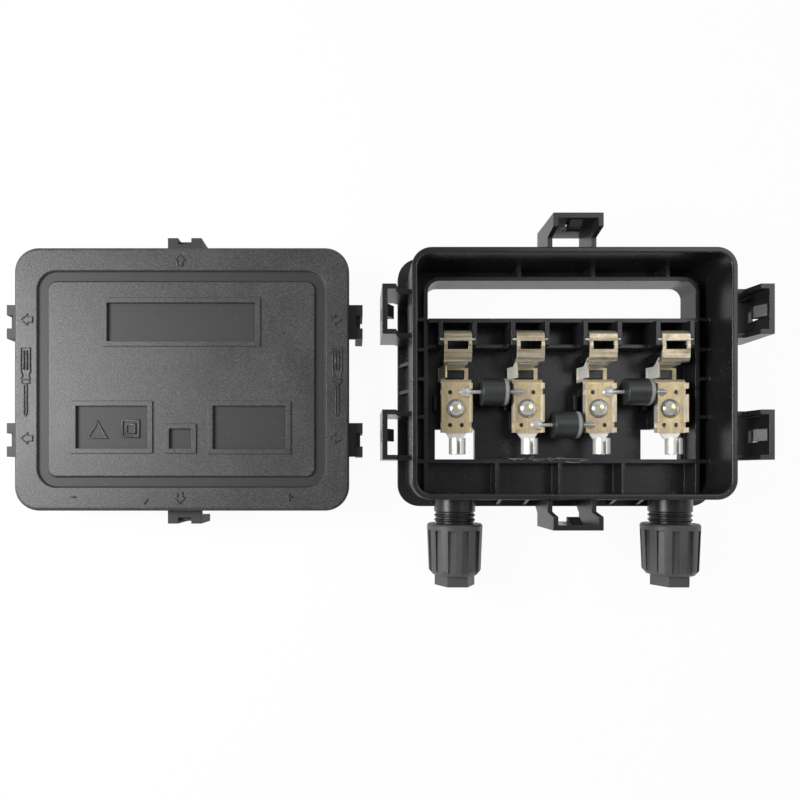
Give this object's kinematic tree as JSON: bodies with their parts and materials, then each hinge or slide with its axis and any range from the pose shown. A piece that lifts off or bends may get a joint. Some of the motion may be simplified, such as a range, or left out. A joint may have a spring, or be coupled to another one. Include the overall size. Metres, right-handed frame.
{
  "type": "pv junction box",
  "caption": "Black plastic solar panel junction box with its lid off: ribbon clips, plates, bypass diodes and cable glands.",
  "frame": {"origin": "centre of the base's flat back face, which is glued to the panel", "axes": "+X along the box and away from the lid, +Y towards the ribbon window and away from the cable glands, +Z out of the panel"},
  "size_m": [0.2488, 0.1196, 0.025],
  "materials": {
    "housing_plastic": "moulded black, fine grain, semi-gloss",
    "lid_plastic": "moulded dark grey-black, spark-eroded grain",
    "gland_plastic": "moulded black, semi-gloss",
    "claw_plastic": "moulded black",
    "seal_rubber": "black rubber",
    "plated_brass": "stamped, tin-edged, satin",
    "clip_bronze": "rolled spring sheet, satin",
    "pin_steel": "drawn wire",
    "rivet_metal": "bright domed head",
    "diode_epoxy": "moulded epoxy, pale cathode band",
    "tinned_lead": "tinned copper wire",
    "solder": "bright solder"
  },
  "bodies": {
    "housing": {"base_housing": "housing_plastic", "terminal_plate_1": "plated_brass", "terminal_rivet_1": "rivet_metal", "clip_pin_1": "pin_steel", "terminal_plate_2": "plated_brass", "terminal_rivet_2": "rivet_metal", "clip_pin_2": "pin_steel", "terminal_plate_3": "plated_brass", "terminal_rivet_3": "rivet_metal", "clip_pin_3": "pin_steel", "terminal_plate_4": "plated_brass", "terminal_rivet_4": "rivet_metal", "clip_pin_4": "pin_steel", "diode_body_1": "diode_epoxy", "diode_leads_1": "tinned_lead", "diode_body_2": "diode_epoxy", "diode_leads_2": "tinned_lead", "diode_body_3": "diode_epoxy", "diode_leads_3": "tinned_lead", "solder_joints": "solder"},
    "lid_body": {"lid": "lid_plastic", "lid_seal": "seal_rubber"},
    "clip_1": {"ribbon_clip_1": "clip_bronze"},
    "clip_2": {"ribbon_clip_2": "clip_bronze"},
    "clip_3": {"ribbon_clip_3": "clip_bronze"},
    "clip_4": {"ribbon_clip_4": "clip_bronze"},
    "left_clamp": {"gland_claw_left": "claw_plastic", "gland_seal_left": "seal_rubber"},
    "left_nut": {"gland_nut_left": "gland_plastic"},
    "right_clamp": {"gland_claw_right": "claw_plastic", "gland_seal_right": "seal_rubber"},
    "right_nut": {"gland_nut_right": "gland_plastic"}
  },
  "joints": [
    {"name": "lid_lift", "type": "slide", "parent": "housing", "child": "lid_body", "axis": [0, 0, 1], "range_m": [0, 0.04]},
    {"name": "clip_1_open", "type": "hinge", "parent": "housing", "child": "clip_1", "pos_m": [-0.03615, 0.0126, 0.0139], "axis": [-1, 0, 0], "range_deg": [0, 80]},
    {"name": "clip_2_open", "type": "hinge", "parent": "housing", "child": "clip_2", "pos_m": [-0.01205, 0.0126, 0.0139], "axis": [-1, 0, 0], "range_deg": [0, 80]},
    {"name": "clip_3_open", "type": "hinge", "parent": "housing", "child": "clip_3", "pos_m": [0.01205, 0.0126, 0.0139], "axis": [-1, 0, 0], "range_deg": [0, 80]},
    {"name": "clip_4_open", "type": "hinge", "parent": "housing", "child": "clip_4", "pos_m": [0.03615, 0.0126, 0.0139], "axis": [-1, 0, 0], "range_deg": [0, 80]},
    {"name": "left_clamp_travel", "type": "slide", "parent": "housing", "child": "left_clamp", "axis": [0, 1, 0], "range_m": [-0.0015, 0.003]},
    {"name": "left_nut_turn", "type": "hinge", "parent": "left_clamp", "child": "left_nut", "pos_m": [-0.0365, -0.058, 0.01], "axis": [0, 1, 0], "range_deg": [-360, 720]},
    {"name": "right_clamp_travel", "type": "slide", "parent": "housing", "child": "right_clamp", "axis": [0, 1, 0], "range_m": [-0.0015, 0.003]},
    {"name": "right_nut_turn", "type": "hinge", "parent": "right_clamp", "child": "right_nut", "pos_m": [0.0365, -0.058, 0.01], "axis": [0, 1, 0], "range_deg": [-360, 720]}
  ],
  "couplings": [
    {"joint": "left_nut_turn", "follows": "left_clamp_travel", "rad_per_m": 4188.8},
    {"joint": "right_nut_turn", "follows": "right_clamp_travel", "rad_per_m": 4188.8}
  ]
}
